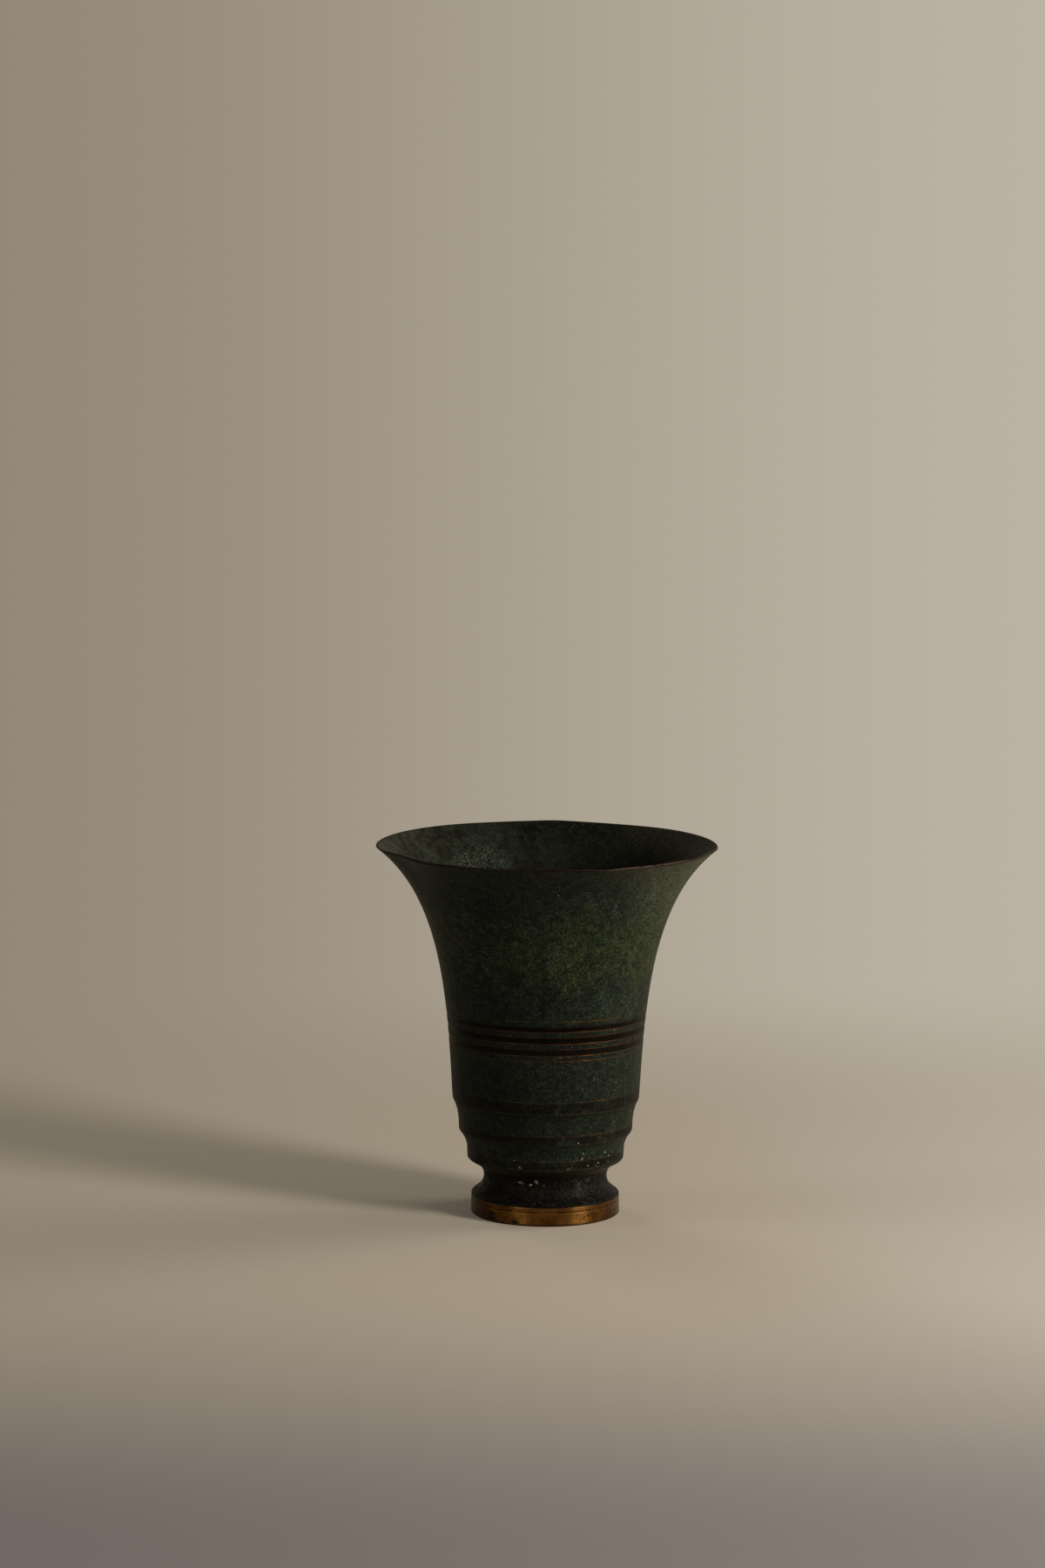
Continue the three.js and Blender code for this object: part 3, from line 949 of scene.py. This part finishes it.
def lime_flecks():
    """Small uneven domes stuck on the outside, joined in one piece"""
    random.seed(11)
    vertices = []
    faces = []
    for azimuth, level, width, height in FLECKS:
        turn = math.radians(azimuth)
        start = len(vertices)
        phases = [random.uniform(0, 2 * math.pi) for _ in range(3)]
        for rise, share in FLECK_LAYERS:
            for side in range(FLECK_SIDES):
                angle = 2 * math.pi * side / FLECK_SIDES
                uneven = 1 + 0.18 * math.sin(2 * angle + phases[0]) + 0.12 * math.sin(3 * angle + phases[1])
                reach = share * uneven
                z = level + height * FLECK_SCALE * reach * math.sin(angle)
                radius = radius_at(ABOVE_RING, z) + rise
                around = turn + width * FLECK_SCALE * reach * math.cos(angle) / radius
                vertices.append((radius * math.cos(around) * MM, radius * math.sin(around) * MM, z * MM))
        for layer in range(len(FLECK_LAYERS) - 1):
            low = start + layer * FLECK_SIDES
            high = low + FLECK_SIDES
            for side in range(FLECK_SIDES):
                after = (side + 1) % FLECK_SIDES
                faces.append((low + side, low + after, high + after, high + side))
        top = len(vertices) - FLECK_SIDES
        faces.append([start + side for side in reversed(range(FLECK_SIDES))])
        faces.append([top + side for side in range(FLECK_SIDES)])
    return add_mesh("lime_flecks", vertices, faces, (lime(),))


# The photograph's camera: lens and sensor in millimetres, place and reach in metres, turns in degrees
LENS = 105
SENSOR_WIDTH = 36
VIEWPOINT = (-0.0116, -2.0676, 0.4755)
FARTHEST_SEEN = 30
LOOK_DOWN = 7.63
TIP = 0.358

# Floor, its radius in metres. It gives way to the backdrop far from the vase, and from one distance
# behind it to another. Those, and the middle of the painted shade in front, are in millimetres.
FLOOR_RADIUS = 6.0
FLOOR_SEEN = 600
FLOOR_END_NEAR, FLOOR_END_FAR = 180, 620
FLOOR_FRONT_MIDDLE = -560
FLOOR_COLOUR = srgb(200, 193, 180)
FLOOR_FIBRE = srgb(196, 189, 176)
# The floor is painted lighter and cooler to the right, painted light, and darker in front, painted shade
FLOOR_RIGHT_LIT = srgb(202, 198, 190)
FLOOR_FRONT_SHADE = srgb(146, 141, 143)

# Backdrop, and how far to each side it turns from one colour to the other
BACKDROP_LEFT = srgb(148, 136, 118)
BACKDROP_RIGHT = srgb(188, 179, 164)
BACKDROP_TURN = 0.13

# Light of the room: its bright side, and what comes evenly from all sides, on surfaces and in mirrors
ROOM_COLOUR = srgb(255, 242, 222)
ROOM_BRIGHT = 0.42
EVEN_LIGHT = 0.13
EVEN_MIRRORED = 0.08

# Lamps
WARM = (1.0, 0.91, 0.79)
COOL = (0.97, 0.97, 1.0)
AIM = Vector((0, 0, 0.08))


def floor_material():
    """Pale floor that keeps the shadow near the vase, and lets the backdrop show where it is far off"""
    g = Nodes("pale_floor")
    place = g.place()
    right, back, _ = g.parts(place)
    colour = g.mix(g.step(g.noise(place, 1.2, detail=3), 0.2, 0.8), FLOOR_COLOUR, FLOOR_FIBRE)
    # Painted light to the right and painted shade in front
    colour = g.mix(g.step(right, 20, 240), colour, FLOOR_RIGHT_LIT)
    colour = g.mix(g.near(back, FLOOR_FRONT_MIDDLE, 40, 390), colour, FLOOR_FRONT_SHADE)
    paper = g.add("ShaderNodeBsdfDiffuse")
    g.feed(paper.inputs["Color"], colour)

    rays = g.add("ShaderNodeLightPath").outputs
    seen = g.most([rays["Is Camera Ray"], rays["Is Glossy Ray"]])
    far = g.minus(1.0, g.around(place, (0, 0, 0), FLOOR_SEEN, FLOOR_SEEN))
    away = g.most([g.step(back, FLOOR_END_NEAR, FLOOR_END_FAR), far])
    g.crossfade(g.times(away, seen), paper, g.add("ShaderNodeBsdfTransparent"))
    return g.material


def make_floor():
    """Round floor under the vase"""
    corners = 96
    vertices = [(0, 0, 0)]
    for corner in range(corners):
        turn = 2 * math.pi * corner / corners
        vertices.append((FLOOR_RADIUS * math.cos(turn), FLOOR_RADIUS * math.sin(turn), 0))
    faces = [(0, corner + 1, (corner + 1) % corners + 1) for corner in range(corners)]
    add_mesh("floor", vertices, faces, (floor_material(),), smooth=False)


class WorldNodes(Nodes):
    """The same short forms for the world's light"""

    def __init__(self, name):
        self.world = bpy.data.worlds.new(name)
        self.world.use_nodes = True
        self.tree = self.world.node_tree
        self.tree.nodes.clear()
        self.output = self.add("ShaderNodeOutputWorld")


def make_world():
    """Backdrop that brightens to the right, and a room whose light comes from the back and right, low down"""
    g = WorldNodes("studio")
    direction = g.add("ShaderNodeTexCoord").outputs["Generated"]
    right, back, up = g.parts(direction)
    rays = g.add("ShaderNodeLightPath").outputs

    facing = g.plus(g.times(right, 0.75), g.times(back, 0.65))
    bright = g.times(g.step(facing, -0.6, 0.7), g.step(up, 0.7, 0.0))
    even = g.blend(rays["Is Glossy Ray"], EVEN_LIGHT, EVEN_MIRRORED)
    room = g.add("ShaderNodeBackground")
    room.inputs["Color"].default_value = ROOM_COLOUR
    g.feed(room.inputs["Strength"], g.plus(g.times(bright, ROOM_BRIGHT), even))

    # The backdrop shows to the camera, through clear things, and in metal that mirrors what is behind
    colour = g.mix(g.step(right, -BACKDROP_TURN, BACKDROP_TURN), BACKDROP_LEFT, BACKDROP_RIGHT)
    backdrop = g.add("ShaderNodeBackground")
    g.feed(backdrop.inputs["Color"], colour)
    mirrored = g.times(rays["Is Glossy Ray"], g.step(back, 0.5, 0.9))
    seen = g.most([rays["Is Camera Ray"], rays["Is Transmission Ray"], mirrored])
    g.crossfade(seen, room, backdrop)
    bpy.context.scene.world = g.world


def make_lamp(name, azimuth, elevation, distance, size, strength, colour=WARM, lit=True, mirrored=True):
    """Round soft lamp aimed at the vase, as strong there from any distance.
    Azimuth is to the right of the camera's side, in degrees."""
    turn = math.radians(azimuth)
    rise = math.radians(elevation)
    way = Vector((math.sin(turn) * math.cos(rise), -math.cos(turn) * math.cos(rise), math.sin(rise)))
    data = bpy.data.lights.new(name, "AREA")
    data.shape = "DISK"
    data.size = size
    data.color = colour
    data.energy = strength * (math.pi * distance) ** 2
    lamp = bpy.data.objects.new(name, data)
    lamp.location = AIM + way * distance
    lamp.rotation_euler = way.to_track_quat("Z", "Y").to_euler()
    lamp.visible_camera = False
    lamp.visible_diffuse = lit
    lamp.visible_glossy = mirrored
    bpy.context.scene.collection.objects.link(lamp)


def make_lamps():
    """Key lamp at the right, weaker ones beside, left and behind, and one that shows only as a glint"""
    make_lamp("key", azimuth=57, elevation=20, distance=1.5, size=0.4, strength=0.8)
    make_lamp("side", azimuth=108, elevation=8, distance=1.5, size=0.9, strength=0.72, mirrored=False)
    make_lamp(
        "fill", azimuth=-80, elevation=12, distance=2.2, size=0.6, strength=0.135,
        colour=COOL, mirrored=False,
    )
    make_lamp("back", azimuth=212, elevation=7, distance=2.0, size=0.8, strength=0.32, mirrored=False)
    make_lamp("glint", azimuth=-37, elevation=15, distance=2.2, size=0.4, strength=0.2, lit=False)


def make_camera():
    """Long lens, a little above the rim, tipped a third of a degree"""
    data = bpy.data.cameras.new("camera")
    data.lens = LENS
    data.sensor_width = SENSOR_WIDTH
    data.sensor_fit = "AUTO"
    data.clip_end = FARTHEST_SEEN
    camera = bpy.data.objects.new("camera", data)
    camera.location = VIEWPOINT
    pitch = Quaternion((1, 0, 0), math.radians(90 - LOOK_DOWN))
    roll = Quaternion((0, 0, 1), math.radians(TIP))
    camera.rotation_mode = "QUATERNION"
    camera.rotation_quaternion = pitch @ roll
    bpy.context.scene.collection.objects.link(camera)
    bpy.context.scene.camera = camera


def dress(piece, node):
    """Puts a piece in the place of a CAD node"""
    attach(piece, "root")
    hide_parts(node)


make_camera()
shell_finishes = (outside_patina(), worn_lip(), inside_patina())
dress(turned("bronze_shell", shell_profile(), shell_finishes, bent=True), "vase_body")
dress(turned("waisted_foot", foot_profile(), (black_patina(),), closed=True), "foot")
dress(turned("brass_ring", ring_profile(), (bare_brass(),), closed=True), "foot_ring")

flecks = lime_flecks()
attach(flecks, "root")

solder = dull_solder()
for node in ("neck_solder", "ring_solder"):
    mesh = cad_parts[node].data
    mesh.materials.clear()
    mesh.materials.append(solder)

make_floor()
make_world()
make_lamps()
bpy.context.scene.view_settings.view_transform = "Standard"
